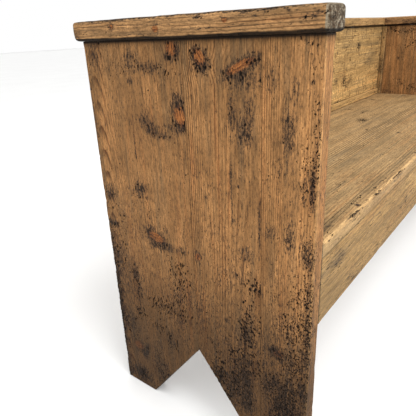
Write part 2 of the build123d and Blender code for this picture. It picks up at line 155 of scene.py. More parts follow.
HARDWARE_IN_SIGHT = ("cap_nails", "seat_nails", "back_nails", "strip_pins")
IRON_PLACES = [v.co.copy() for n in HARDWARE_IN_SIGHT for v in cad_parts[n].data.vertices]
IRON_REACH = 5 * MM
IRON_SINK = 0.8 * MM
TONGUED = {"seat_front_board": (Y, "seat_rear_board"), "back_lower_board": (Z, "back_upper_board")}
MARK_DEPTH = 9 * MM  # how far a mark on one face reaches into the board
NO_KNOT = 9.0  # the knot field where no knot is near
BEND_SIZE, BEND_LENGTH = 45 * MM, 420 * MM  # cells of the rings' slow waver
QUIVER_SIZE, QUIVER_LENGTH = 16 * MM, 150 * MM  # and of their fast one
BROAD_SIZE = 90 * MM  # of patches of colour and grime
SWELL_SIZE, SWELL = 70 * MM, 0.35 * MM
HOLE_DEPTH = 0.9 * MM
LOW_FADE_FLOOR, LOW_FADE_TOP = 0.02, 0.6  # above the floor, between which the darkening, smudges and worm holes towards it fade


def board_box(node):
    """A board's box as it shows: without its tongue, which lies in its neighbour."""
    low, high = (np.array(corner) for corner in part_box(node))
    if node in TONGUED:
        axis, neighbour = TONGUED[node]
        high[axis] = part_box(neighbour)[0][axis]
    return low, high


BOARD_BOXES = {
    name: board_box(name)
    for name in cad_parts
    if not name.endswith(("nails", "pins", "screws", "dowels"))
}


def tree_of(points):
    """A search tree of the points, for what lies near a place."""
    tree = KDTree(len(points))
    for i, place in enumerate(points):
        tree.insert(place, i)
    tree.balance()
    return tree


def nearness_to_iron(points, tree, low, high):
    """1 where a nail head lies in the surface, falling to 0 a few millimetres away."""
    near = np.zeros(len(points))
    for place in IRON_PLACES:
        if all(low[k] - IRON_REACH < place[k] < high[k] + IRON_REACH for k in (X, Y, Z)):
            for _, i, gap in tree.find_range(place, IRON_REACH):
                near[i] = max(near[i], 1 - gap / IRON_REACH)
    return near


def grime_and_shade_of_joint(node, other):
    """How far joint grime and painted shade spread over node from where other touches it, and how
    dark they are there.
    """
    if any(node.endswith(kind) and other.endswith(kind) for kind in ("board", "cap")):
        return 0.5 * MM, 0.4
    # Painted shadow: a wide black band on the board under a cap.
    if other.endswith("cap"):
        return 3.4 * MM, 2.0
    if "front" in node and "front" in other:
        return 1.6 * MM, 0.55
    return 2.0 * MM, 0.7


def joint_grime_and_shade(points, node):
    """Painted shade with joint grime where other boards touch: a fine dark line at a glued joint,
    and a wide painted shadow under a cap.
    """
    shade = np.zeros(len(points))
    for other, (low, high) in BOARD_BOXES.items():
        if other != node:
            reach, strength = grime_and_shade_of_joint(node, other)
            gap = np.linalg.norm(np.maximum(np.maximum(low - points, points - high), 0), axis=1)
            shade = np.maximum(shade, strength * np.exp(-gap / reach))
    return np.minimum(shade, 1)


def in_knot(cross, along, knot):
    """Each point seen from a knot: its distance, where 1 is the rim, and its place along the
    knot's long and short axis."""
    c0, a0, rc, ra = (value * MM for value in knot[:4])
    turn = math.radians(knot[4])
    dc, da = cross - c0, along - a0
    u = dc * math.cos(turn) + da * math.sin(turn)
    v = da * math.cos(turn) - dc * math.sin(turn)
    distance = np.hypot(u / rc, v / ra)
    return (distance, u, v) if rc > ra else (distance, v, u)


def growth(points, axes, centre, pith, spacing, knots, seed):
    """'ring' counts growth rings from the pith; the 'knot' fields are the place in the nearest
    knot."""
    grain, wide, thin = axes
    slow, fast = np.full(3, BEND_SIZE), np.full(3, QUIVER_SIZE)
    slow[grain], fast[grain] = BEND_LENGTH, QUIVER_LENGTH
    cross, along, depth = points[:, wide], points[:, grain], points[:, thin]
    bend = 4.5 * MM * noise(points, slow, seed) + 0.8 * MM * noise(points, fast, seed + 1)
    nearest = np.full(len(points), NO_KNOT)
    long_place, short_place = np.zeros(len(points)), np.zeros(len(points))
    for knot in knots:
        distance, u, v = in_knot(cross, along, knot)
        closer = distance < nearest
        long_place = np.where(closer, u, long_place)
        short_place = np.where(closer, v, short_place)
        nearest = np.minimum(nearest, distance)
        # The rings part round the knot, furthest beside it and less and less along the grain
        c0, a0, rc, ra = (value * MM for value in knot[:4])
        push = np.exp(-(((along - a0) / (3.2 * ra)) ** 2)) * np.exp(-np.abs(cross - c0) / (2.6 * rc))
        bend -= np.tanh((cross - c0) / (0.5 * rc)) * push * rc * 1.1
    across = cross - centre[wide] - pith[0] * MM + bend
    deep = depth - centre[thin] - pith[1] * MM - pith[2] * (along - centre[grain])
    ring = np.hypot(across, deep) / (spacing * MM)
    return {"ring": ring, "knot": nearest, "knot_long": long_place, "knot_short": short_place}


def stains(points, axes, marks, scattered, knots, face):
    """Dirt and worm holes round the marks and knots, each from 0 to 1. The marks are on the face
    at this place along the thin axis, and the scattered ones on the rest of the board."""
    grain, wide, thin = axes
    clean_and_unshaded = np.ones(len(points))
    sound = np.ones(len(points))
    near_face = np.exp(-(((points[:, thin] - face) / MARK_DEPTH) ** 2))
    for group, share in ((marks, near_face), (scattered, 1 - near_face if marks else 1)):
        for c0, a0, rc, ra, dirt_and_shade, pits in group:
            across = (points[:, wide] - c0 * MM) / (rc * MM)
            lengthwise = (points[:, grain] - a0 * MM) / (ra * MM)
            inside = np.exp(-0.9 * (across**2 + lengthwise**2) ** 1.2) * share
            clean_and_unshaded *= 1 - dirt_and_shade * inside
            sound *= 1 - pits * inside
    for knot in knots:
        distance = in_knot(points[:, wide], points[:, grain], knot)[0]
        halo = knot[5] * np.exp(-(((distance - 1.5) / 0.7) ** 2))
        clean_and_unshaded *= 1 - 0.6 * halo
        sound *= 1 - 0.35 * halo
    return 1 - clean_and_unshaded, 1 - sound


def holes(points, tree, pits, grain, rng, count, size):
    """Real worm holes where the pits field is high: 1 at the bottom of a hole, 0 outside."""
    depth = np.zeros(len(points))
    weight = np.clip(pits - 0.12, 0, None) ** 1.3
    if count == 0 or weight.sum() == 0:
        return depth
    for pick in rng.choice(len(points), count, p=weight / weight.sum()):
        radius = rng.uniform(*size) * MM
        stretch = rng.uniform(1.0, 1.6)
        for _, i, _ in tree.find_range(points[pick], radius * stretch * 1.4):
            offset = points[i] - points[pick]
            offset[grain] /= stretch
            depth[i] = max(depth[i], 1 - np.linalg.norm(offset) / (radius * 1.4))
    return np.clip(depth * 1.6, 0, 1)


def dents(points, edge, grain, rng, count):
    """Shallow knocks, mostly on the arrises, from 0 to 1."""
    depth = np.zeros(len(points))
    weight = 0.02 + edge**2
    for pick in rng.choice(len(points), count, p=weight / weight.sum()):
        radius = np.full(3, rng.uniform(3, 9) * MM)
        radius[grain] *= rng.uniform(1, 3)
        gap = np.linalg.norm((points - points[pick]) / radius, axis=1)
        depth = np.maximum(depth, rng.uniform(0.3, 1) * np.exp(-(gap**2)))
    return depth


def scatter(node, wide, grain, count, seed):
    """Marks at random places of a board."""
    rng = np.random.default_rng(seed)
    low, high = (np.array(v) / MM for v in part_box(node))
    return tuple(
        (
            place[wide],
            place[grain],
            rng.uniform(5, 20),
            rng.uniform(6, 36),
            rng.uniform(0.1, 0.7),
            rng.uniform(0, 0.8),
        )
        for place in rng.uniform(low, high, (count, 3))
    )


def bands_at(places, bands):
    """The sum of soft bands, each with its place and reach in millimetres and its strength."""
    total = np.zeros(len(places))
    for place, reach, strength in bands:
        total += strength * np.exp(-(((places - place * MM) / (reach * MM)) ** 2))
    return total


def round_arrises(points, low, high, radius, rub, tight, seed):
    """A box's points with unevenly rounded arrises, their normals, how near each is to a free
    arris, and its give: 0 on a face that meets another board, where nothing may swell or sink."""
    gaps = np.stack([points - low, high - points], -1)
    free = gaps.copy()
    for axis, sign in tight:
        free[:, axis, sign] = 1.0
    edge = np.exp(-np.sort(free.reshape(-1, 6), axis=1)[:, 1] / (rub * MM))

    rounding = radius * MM * (1 + 0.35 * fractal(points, (60 * MM,) * 3, seed + 3))
    give = np.ones(len(points))
    for axis, sign in tight:
        give = np.minimum(give, ease(gaps[:, axis, sign], 0, TIGHT_HOLD))
        share = ease(gaps[:, axis, sign], 0, TIGHT_REACH)
        rounding = TIGHT_RADIUS + (rounding - TIGHT_RADIUS) * share
    rounding = np.minimum(rounding, (high - low).min() * 0.42)[:, None]
    core = np.clip(points, low + rounding, high - rounding)
    normals = points - core
    normals /= np.linalg.norm(normals, axis=1)[:, None]
    return core + normals * rounding, normals, edge, give


def plank(
    node,
    slot,
    material,
    grain,
    wide=None,
    step=4.0,
    along_step=None,
    radius=2.2,
    rub=2.6,
    tight=(),
    pith=None,
    spacing=3.4,
    knots=(),
    marks=(),
    marked_side=0,
    scattered=10,
    hole_count=0,
    hole_size=(0.7, 1.5),
    dent_count=10,
    dent_depth=1.1,
    grime=0.0,
    tone=0.0,
    under_shade=0.0,
    painted_light=1.0,
    lights=(),
    painted_edge_light_bands=(),
    bands=(),
    notch=None,
):
    """A worn board in place of a CAD node. All sizes are in millimetres.

    grain is the axis that the grain follows, and wide the one across it, the wider if not given.
    step and along_step space the grid. radius rounds the arrises, and rub is how far from them
    the wood is pale. tight lists the faces in a joint, as axis and side, 0 low and 1 high. pith
    is the rings' centre across and deep, and its slope. Marks are on the marked_side. tone is
    warm above 0 and grey below. Painted light and shade scale the colour of the whole board, in
    soft bands across it and through its thickness, and bands of strong grain lie across it;
    faces that look down can be painted dark as shade. notch is 1 or -1 for the half of the V
    that the board holds."""
    low, high = BOARD_BOXES[node]
    seed = zlib.crc32(node.encode()) % 9973
    rng = np.random.default_rng(seed)
    size = high - low
    others = sorted({X, Y, Z} - {grain}, key=lambda k: -size[k])
    if wide is not None:
        others = [wide, ({X, Y, Z} - {grain, wide}).pop()]
    axes = (grain, others[0], others[1])
    steps = [step * MM] * 3
    steps[grain] = (along_step or step) * MM
    points, quads = box_surface([grid_lines(low[k], high[k], steps[k]) for k in (X, Y, Z)])
    points, normals, edge, give = round_arrises(points, low, high, radius, rub, tight, seed)
    if notch is not None:
        fall = notch * (points[:, Y] - NOTCH_APEX) / NOTCH_HALF_WIDTH
        rise = NOTCH_HEIGHT * np.clip(1 - fall, 0, 1)
        points[:, Z] = rise + points[:, Z] * (high[Z] - rise) / high[Z]

    if pith is None:
        across = rng.uniform(-0.5, 0.5) * size[axes[1]] / MM
        pith = (across, rng.uniform(25, 70), rng.uniform(-0.03, 0.03))
    tree = tree_of(points)
    fields = growth(points, axes, (low + high) / 2, pith, spacing, knots, seed)
    strewn = scatter(node, axes[1], grain, scattered, seed + 1)
    face = (low, high)[marked_side][axes[2]]
    dirt_and_shade, pits = stains(points, axes, marks, strewn, knots, face)
    iron = nearness_to_iron(points, tree, low, high)
    broad = fractal(points, (BROAD_SIZE,) * 3, 5)
    depth = holes(points, tree, pits, grain, rng, hole_count, hole_size)
    knocks = dents(points, edge, grain, rng, dent_count)

    clean_and_unshaded = (1 - dirt_and_shade) * (1 - grime * ease(broad, -0.1, 0.8)) * (1 - 0.75 * ease(iron, 0.2, 0.8))
    # Painted shade: faces that look down are darkened, on top of the dirt.
    clean_and_unshaded *= 1 - 0.5 * ease(-normals[:, Z], 0.0, 0.7)
    underside_shade = ease(-normals[:, Z], 0.2, 0.4)
    fields["dirt_and_shade"] = 1 - clean_and_unshaded
    fields["pits"] = np.clip(pits + 0.25 * knocks, 0, 1)
    fields["hole"] = depth
    fields["edge"] = np.clip(edge, 0, 1)
    fields["tone"] = tone + 0.5 * broad
    fields["low"] = ease(points[:, Z], LOW_FADE_TOP, LOW_FADE_FLOOR)
    fields["end"] = np.abs(normals[:, grain])
    # Painted shade: black near the other boards, as a wide shadow under the caps, and on faces that
    # look down.
    fields["joint_grime_and_shade"] = np.maximum(joint_grime_and_shade(points, node), under_shade * underside_shade)
    fields["grainy"] = bands_at(points[:, axes[1]], bands)
    # Painted light and shade: the colour is scaled for the whole board, and in soft bands across it
    # and through its thickness.
    fields["painted_light"] = painted_light + bands_at(points[:, axes[1]], lights)
    fields["painted_light"] += bands_at(points[:, axes[2]], painted_edge_light_bands)

    swell = SWELL * fractal(points, (SWELL_SIZE,) * 3, 21)
    sunk = HOLE_DEPTH * depth + dent_depth * MM * knocks + IRON_SINK * ease(iron, 0.1, 0.6)
    points = points + normals * (give * (swell - sunk))[:, None]
    made = new_object(node + "_worn", points, quads, material, fields)
    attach(made, "root")
    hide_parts(node)
    return made


# ---------------------------------------------------------------- materials


def colour(red, green, blue):
    """An sRGB colour from 0 to 255 as linear RGBA."""
    channels = [c / 255 for c in (red, green, blue)]
    linear = [c / 12.92 if c <= 0.04045 else ((c + 0.055) / 1.055) ** 2.4 for c in channels]
    return (*linear, 1.0)


# Dirt, and also the painted shade on faces that look down
DIRT_AND_SHADE = colour(46, 38, 34)
# Black dirt and holes, and also the painted shade in the joints and under the caps
BLACK = colour(16, 12, 9)
DARK_BROWN = colour(78, 56, 37)
PALE_WOOD = colour(198, 158, 106)
KNOT_LIGHT = colour(180, 116, 62)
KNOT_DARK = colour(116, 64, 34)
KNOT_CORE = colour(46, 28, 18)
BARK = colour(34, 24, 18)
END_BAND = colour(134, 125, 106)
END_GRAIN = (
    (0.42, colour(18, 17, 15)),
    (0.50, colour(56, 53, 46)),
    (0.56, colour(104, 98, 84)),
    (0.62, colour(168, 160, 140)),
)
PALE_ARRIS = 0.6  # how much of the pale wood shows on a rubbed arris


def along(grain, long_size, cross_size):
    """Mapping scales for cells that are long along the grain, with sizes in millimetres."""
    scale = [1 / (cross_size * MM)] * 3
    scale[grain] = 1 / (long_size * MM)
    return tuple(scale)


class Graph:
    """Short ways to add the nodes of one material and join them."""

    def __init__(self, name):
        self.material = bpy.data.materials.new(name)
        self.material.use_nodes = True
        self.tree = self.material.node_tree
        self.tree.nodes.clear()

    def add(self, kind, inputs=None, **settings):
        """A node. An input that is a socket is linked, and any other is set."""
        made = self.tree.nodes.new(kind)
        for key, value in settings.items():
            setattr(made, key, value)
        for key, value in (inputs or {}).items():
            if isinstance(value, bpy.types.NodeSocket):
                self.tree.links.new(value, made.inputs[key])
            else:
                made.inputs[key].default_value = value
        return made

    def field(self, name):
        return self.add("ShaderNodeAttribute", attribute_name=name).outputs["Fac"]

    def math(self, operation, a, b=0.0):
        return self.add("ShaderNodeMath", {0: a, 1: b}, operation=operation).outputs[0]

    def plus(self, first, *others):
        for other in others:
            first = self.math("ADD", first, other)
        return first

    def times(self, first, *others):
        for other in others:
            first = self.math("MULTIPLY", first, other)
        return first

    def minus(self, a, b):
        return self.math("SUBTRACT", a, b)

    def ease(self, value, low, high, bottom=0.0, top=1.0):
        inputs = {0: value, 1: low, 2: high, 3: bottom, 4: top}
        return self.add("ShaderNodeMapRange", inputs, interpolation_type="SMOOTHSTEP").outputs[0]

    def mix(self, factor, a, b):
        return self.add("ShaderNodeMix", {0: factor, 6: a, 7: b}, data_type="RGBA").outputs[2]

    def vector(self, operation, a, b):
        return self.add("ShaderNodeVectorMath", {0: a, 1: b}, operation=operation).outputs[0]

    def scaled(self, shade, factor):
        inputs = {0: shade, "Scale": factor}
        return self.add("ShaderNodeVectorMath", inputs, operation="SCALE").outputs[0]

    def mapped(self, vector, scale, shift=(0.0, 0.0, 0.0)):
        inputs = {"Vector": vector, "Scale": scale, "Location": shift}
        return self.add("ShaderNodeMapping", inputs).outputs[0]

    def place(self, scale=(1.0, 1.0, 1.0), shift=(0.0, 0.0, 0.0)):
        """The point's place in the row frame, scaled, so 1/0.004 makes 4 mm cells."""
        return self.mapped(self.add("ShaderNodeTexCoord").outputs["Object"], scale, shift)

    def noise(self, vector, scale=1.0, detail=2.0, roughness=0.5):
        inputs = {"Vector": vector, "Scale": scale, "Detail": detail, "Roughness": roughness}
        return self.add("ShaderNodeTexNoise", inputs).outputs["Fac"]

    def ramp(self, value, stops):
        made = self.add("ShaderNodeValToRGB", {0: value})
        elements = made.color_ramp.elements
        for place, shade in stops[1:-1]:
            elements.new(place).color = shade
        elements[0].position, elements[0].color = stops[0]
        elements[-1].position, elements[-1].color = stops[-1]
        return made.outputs[0]

    def specks(self, vector, density, small, large):
        """Round specks, each with a rim round it, in the cells of a Voronoi pattern. density is
        the share of cells with one."""
        cells = self.add("ShaderNodeTexVoronoi", {"Vector": vector, "Scale": 1.0})
        chance = self.add("ShaderNodeSeparateColor", {0: cells.outputs["Color"]})
        present = self.math("LESS_THAN", chance.outputs[0], density)
        reach = self.ease(chance.outputs[1], 0.0, 1.0, small, large)
        inner, outer = self.times(reach, 0.5), self.times(reach, 1.7)
        inputs = {0: cells.outputs["Distance"], 1: inner, 2: reach, 3: 1.0, 4: 0.0}
        spot = self.add("ShaderNodeMapRange", inputs).outputs[0]
        rim = self.add("ShaderNodeMapRange", {**inputs, 1: reach, 2: outer}).outputs[0]
        return self.times(present, spot), self.times(present, rim)

    def surface(self, shade, roughness, height, depth, **constants):
        """A Principled surface with bump; depth is how deep the height's 0 to 1 is."""
        bump = self.add("ShaderNodeBump", {"Height": height, "Distance": depth, "Strength": 1.0})
        inputs = {"Base Color": shade, "Roughness": roughness, "Normal": bump.outputs[0]}
        principled = self.add("ShaderNodeBsdfPrincipled", {**inputs, **constants})
        self.add("ShaderNodeOutputMaterial", {"Surface": principled.outputs[0]})
        return self.material


class Pine(Graph):
    """The layers of old pine, each laid over the shade below. stretch lengthens all that follows
    the grain."""

    def __init__(self, name, grain, stretch):
        super().__init__(name)
        self.grain = grain
        self.stretch = stretch
        self.fibre = self.noise(self.cells(70, 2.4), detail=6.0, roughness=0.78)
        self.streak = self.noise(self.cells(260, 11), detail=4.0, roughness=0.62)
        self.blotch = self.noise(self.cells(60, 34), detail=5.0, roughness=0.65)
        self.crumb = self.noise(self.cells(4.6, 3.2), detail=6.0, roughness=0.8)
        self.fleck = self.noise(self.cells(10, 2.6, (1.0, 7.0, 2.0)), detail=5.0, roughness=0.75)

    def cells(self, long_size, cross_size, shift=(0.0, 0.0, 0.0)):
        return self.place(along(self.grain, long_size * self.stretch, cross_size), shift)

    def wood(self, early, late, warm, grey, ring_share, contrast, flecks):
        """Growth rings, each of which turns from early to late wood and stops short, in a warm and
        a grey cast, with fibres, crumbs and flecks. The second result is 1 in late wood."""
        turn = self.math("FRACT", self.plus(self.field("ring"), self.times(self.fibre, 0.5)))
        late_part = self.times(self.ease(turn, 0.5, 0.9), self.ease(turn, 1.0, 0.94))
        strength = self.ease(self.streak, 0.4, 0.66, ring_share * 0.1, ring_share)
        strength = self.math("MINIMUM", self.plus(strength, self.field("grainy")), 1.0)
        shade = self.mix(self.times(late_part, strength), early, late)
        cast = self.plus(self.field("tone"), self.times(self.minus(self.streak, 0.5), 3.0))
        shade = self.mix(self.ease(cast, 0.0, 1.0, 0.0, 0.7), shade, warm)
        shade = self.mix(self.ease(cast, 0.0, -1.0, 0.0, 0.7), shade, grey)
        for pattern, low, high, at_low, at_high in (
            (self.fibre, 0.36, 0.64, 1.0 - contrast, 1.0 + 0.75 * contrast),
            (self.blotch, 0.36, 0.64, 0.8, 1.14),
            (self.streak, 0.36, 0.64, 0.88, 1.1),
            (self.crumb, 0.34, 0.66, 0.74, 1.24),
            (self.fleck, 0.48, 0.66, 1.0 + flecks * 0.15, 1.0 - flecks),
        ):
            shade = self.scaled(shade, self.ease(pattern, low, high, at_low, at_high))
        return shade, late_part

    def knots(self, shade):
        """Orange and brown wood streaked along the knot, with cracks and a dark rim."""
        spot = {0: self.field("knot_long"), 1: self.field("knot_short")}
        spot = self.add("ShaderNodeCombineXYZ", spot).outputs[0]
        spot = self.mapped(spot, (1 / (16 * MM), 1 / (3 * MM), 1.0))
        streak = self.noise(spot, detail=5.0, roughness=0.75)
        wood = self.mix(self.ease(streak, 0.4, 0.58), KNOT_LIGHT, KNOT_DARK)
        wood = self.mix(self.ease(streak, 0.55, 0.64), wood, KNOT_CORE)
        wood = self.scaled(wood, self.ease(self.crumb, 0.34, 0.66, 0.7, 1.2))
        ragged = self.times(self.minus(self.crumb, 0.5), 2.2)
        distance = self.plus(self.field("knot"), ragged)
        shade = self.mix(self.ease(distance, 1.35, 0.95, 0.0, 0.95), shade, wood)
        rim = self.times(self.ease(distance, 0.95, 1.15), self.ease(distance, 1.5, 1.15))
        rim = self.times(rim, self.ease(self.blotch, 0.45, 0.56, 0.1, 0.85))
        return self.mix(rim, shade, BARK)

    def saw_marks(self, shade, saw):
        """Dark scratches across the grain."""
        scratch = self.noise(self.place(along(self.grain, 11, 26)), detail=4.0, roughness=0.7)
        patchy = self.ease(self.blotch, 0.38, 0.55, 0.4, 1.0)
        return self.mix(self.times(self.ease(scratch, 0.52, 0.64), patchy, saw), shade, DARK_BROWN)

    def wear_and_painted_light(self, shade, splits):
        """Paler wood on rubbed arrises, painted light and shade that scale the colour, and fine
        dark splits along the grain. The second result is 1 in a split."""
        rubbed = self.ease(self.crumb, 0.35, 0.6, PALE_ARRIS * 0.3, PALE_ARRIS)
        shade = self.mix(self.times(self.field("edge"), rubbed), shade, PALE_WOOD)
        # Painted light and shade: the colour is made lighter or darker by the board's painted light
        # field.
        shade = self.scaled(shade, self.field("painted_light"))
        split = self.noise(self.cells(80, 2.2, (5.0, 3.0, 1.0)), detail=2.0, roughness=0.6)
        patchy = self.ease(self.blotch, 0.4, 0.6, 0.15, splits)
        split = self.times(self.ease(split, 0.61, 0.7), patchy)
        return self.mix(split, shade, DARK_BROWN), split

    def end_grain(self, shade):
        """Grey and mottled end grain, with a pale band where its arris is worn."""
        mottle = self.noise(self.place((1 / (6 * MM),) * 3), detail=7.0, roughness=0.8)
        band = self.scaled(END_BAND[:3], self.ease(self.crumb, 0.34, 0.66, 0.6, 1.25))
        end = self.field("end")
        wood = self.mix(self.ease(end, 0.5, 0.8), band, self.ramp(mottle, END_GRAIN))
        return self.mix(self.ease(end, 0.12, 0.3, 0.0, 0.85), shade, wood)

    def dirt_and_shade(self, shade):
        """Dirt smudges and painted shade on downward faces, darker colour near the floor, and
        painted black shade in the joints and under the caps.
        """
        streaky = self.plus(self.crumb, self.times(self.minus(self.fleck, 0.5), 0.8))
        crumbly = self.times(self.minus(streaky, 0.5), 3.8)
        low_dirt = self.times(self.field("low"), self.ease(self.blotch, 0.4, 0.6, 0.0, 0.5))
        dirt_and_shade = self.plus(self.field("dirt_and_shade"), low_dirt, crumbly)
        # Dirt smudges, which also carry the painted shade of faces that look down
        shade = self.mix(self.ease(dirt_and_shade, 0.18, 0.95, 0.0, 0.8), shade, DIRT_AND_SHADE)
        shade = self.mix(self.ease(dirt_and_shade, 0.8, 1.25, 0.0, 0.85), shade, BLACK)
        # Darker and browner towards the floor
        low_darkening = self.plus(self.field("low"), self.times(self.streak, 0.6))
        low_darkening = self.ease(low_darkening, 0.35, 1.35)
        shade = self.mix(self.times(low_darkening, 0.25), shade, DARK_BROWN)
        shade = self.scaled(shade, self.ease(low_darkening, 0.0, 1.0, 1.0, 0.44))
        # Painted shade: black in the joints, and a painted shadow under the caps.
        return self.mix(self.times(self.field("joint_grime_and_shade"), 0.95), shade, BLACK)

    def worm_holes(self, shade, speckle):
        """Black in the real holes, and black specks with pale rims and flakes round them. The
        second result is 1 where it is black."""
        inputs = {"Vector": self.place(), "Scale": 1 / (3 * MM), "Detail": 1.0}
        wander = self.add("ShaderNodeTexNoise", inputs).outputs["Color"]
        wobble = self.vector("MULTIPLY", wander, (1.1, 1.1, 1.1))
        coarse_place = self.vector("ADD", self.cells(6.5, 4.4), wobble)
        fine_place = self.vector("ADD", self.cells(3.8, 2.6, (3.0, 1.0, 2.0)), wobble)
        low_pits = self.times(self.field("low"), self.ease(self.blotch, 0.4, 0.6, 0.05, 0.75))
        strewn = self.ease(self.blotch, 0.5, 0.7, 0.0, speckle)
        share = self.plus(self.field("pits"), low_pits, strewn)
        flake = self.noise(self.cells(4.5, 3, (2.0, 2.0, 5.0)), detail=3.0, roughness=0.7)
        flake = self.times(self.ease(flake, 0.56, 0.68), share, 0.5)
        shade = self.scaled(shade, self.plus(flake, 1.0))
        coarse, coarse_rim = self.specks(coarse_place, self.times(share, 0.55), 0.22, 0.5)
        fine, fine_rim = self.specks(fine_place, self.times(share, 0.85), 0.25, 0.52)
        rims = self.math("MAXIMUM", coarse_rim, self.times(fine_rim, 0.7))
        shade = self.scaled(shade, self.ease(rims, 0.0, 1.0, 1.0, 1.3))
        hole = self.ease(self.plus(self.field("hole"), self.times(self.crumb, 0.35)), 0.5, 0.75)
        black = self.math("MAXIMUM", coarse, self.times(fine, 0.85))
        black = self.math("MAXIMUM", black, hole)
        return self.mix(self.times(black, 0.94), shade, BLACK), black


def pine(
    name,
    grain,
    early,
    late,
    warm,
    grey,
    ring_share=0.75,
    contrast=0.22,
    flecks=0.38,
    speckle=0.15,
    splits=0.85,
    saw=0.0,
    stretch=1.0,
):
    """Old pine in its four colours. ring_share, contrast, flecks, speckle, splits and saw set how
    much growth rings, fibres, flecks, worm specks, splits and saw marks show."""
    g = Pine(name, grain, stretch)
    shade, late_part = g.wood(early, late, warm, grey, ring_share, contrast, flecks)
    shade = g.knots(shade)
    if saw:
        shade = g.saw_marks(shade, saw)
    shade, split = g.wear_and_painted_light(shade, splits)
    shade = g.dirt_and_shade(g.end_grain(shade))
    shade, black = g.worm_holes(shade, speckle)

    roughness = g.plus(g.ease(g.fibre, 0.3, 0.7, 0.6, 0.75), g.times(black, 0.25))
    height = g.plus(g.minus(g.times(late_part, 0.35), black), g.times(g.fibre, 0.9))
    height = g.plus(g.minus(height, g.times(split, 0.6)), g.times(g.crumb, 0.8))
    gloss = {"IOR": 1.45, "Specular IOR Level": 0.12}
    return g.surface(shade, roughness, height, 0.8 * MM, **gloss)


def worn_iron(name, dark, rust):
    """Rusty iron for the nails, pins and screws."""
    g = Graph(name)
    patch = g.noise(g.place(), 1 / (2 * MM), 5.0, 0.7)
    fine = g.noise(g.place(), 1 / (0.5 * MM), 2.0, 0.6)
    shade = g.mix(g.ease(patch, 0.4, 0.6), dark, rust)
    shade = g.mix(g.ease(fine, 0.45, 0.7, 0.0, 0.5), shade, BLACK)
    roughness = g.ease(patch, 0.35, 0.65, 0.45, 0.85)
    return g.surface(shade, roughness, g.plus(patch, fine), 0.12 * MM, Metallic=0.6)


def clean_pine(name, grain):
    """Clean wood for the dowels and blocks, which carry none of a board's fields."""
    g = Graph(name)
    fibre = g.noise(g.place(along(grain, 12, 0.6)), detail=3.0, roughness=0.6)
    shade = g.mix(g.ease(fibre, 0.3, 0.7), colour(176, 140, 94), colour(132, 96, 60))
    return g.surface(shade, g.ease(fibre, 0.3, 0.7, 0.5, 0.65), fibre, 0.1 * MM)


def make_materials():
    """Every finish, by slot; a slot whose pieces run in two directions has one for each."""
    brown = dict(warm=colour(156, 100, 56), grey=colour(112, 90, 64))
    golden = dict(warm=colour(178, 130, 78), grey=colour(138, 118, 88))
    tan = dict(warm=colour(176, 132, 84), grey=colour(142, 122, 92))
    cap = dict(brown, ring_share=0.8, contrast=0.27, flecks=0.36, speckle=0.6)
    long_board = dict(golden, stretch=3.0)
    frame_pine = dict(brown, early=colour(150, 116, 74), late=colour(98, 68, 42))
    return {
        "end_board": pine(
            "end_board", Z, colour(158, 114, 70), colour(76, 46, 25), ring_share=0.6, **brown
        ),
        "cap_wood_y": pine("cap_wood", Y, colour(168, 126, 82), colour(46, 31, 20), **cap),
        "cap_wood_x": pine(
            "cap_wood_long", X, colour(172, 136, 88), colour(104, 72, 42), stretch=3.0, **cap
        ),
        "back_board": pine(
            "back_board", X, colour(196, 158, 102), colour(134, 96, 52),
            speckle=1.0, saw=0.7, **long_board,
        ),
        "strip_wood_x": pine(
            "strip_wood", X, colour(192, 154, 100), colour(120, 84, 46), **long_board
        ),
        "strip_wood_z": pine(
            "strip_wood_upright", Z, colour(168, 132, 84), colour(108, 74, 42), **golden
        ),
        "seat_board": pine(
            "seat_board", X, colour(174, 142, 98), colour(84, 60, 36),
            ring_share=0.4, contrast=0.13, flecks=0.25, splits=0.5, stretch=2.0, **tan,
        ),
        "apron_wood": pine(
            "apron_wood", X, colour(168, 134, 86), colour(104, 78, 46),
            ring_share=0.6, **long_board,
        ),
        "frame_wood_x": pine("frame_wood", X, **frame_pine),
        "frame_wood_y": pine("frame_wood_across", Y, **frame_pine),
        "frame_wood_z": pine("frame_wood_upright", Z, **frame_pine),
        "block_wood": clean_pine("block_wood", Z),
        "dowel_wood": clean_pine("dowel_wood", Y),
        "nail_iron": worn_iron("nail_iron", colour(50, 45, 41), colour(80, 46, 29)),
        "screw_steel": worn_iron("screw_steel", colour(104, 100, 94), colour(86, 60, 42)),
    }


# ---------------------------------------------------------------- the end panels


# Knots of the near end: y, z, radius across and along, tilt in degrees and strength of the halo.
# All sizes in the tables are in millimetres.
NEAR_REAR_KNOTS = (
    (20, 732, 9, 9, 0, 0.8),
    (11, 632, 10, 14, -15, 1.0),
    (90, 400, 17, 8, 14, 0.9),
    (176, 110, 12, 9, 0, 0.6),
)
NEAR_MIDDLE_KNOTS = (
    (-33, 719, 8, 11, -35, 1.0),
    (-104, 708, 21, 5.5, -24, 1.0),
    (-9, 387, 5, 6, 0, 0.9),
)
NEAR_FRONT_KNOTS = ((-170, 252, 8, 6, 0, 0.9),)

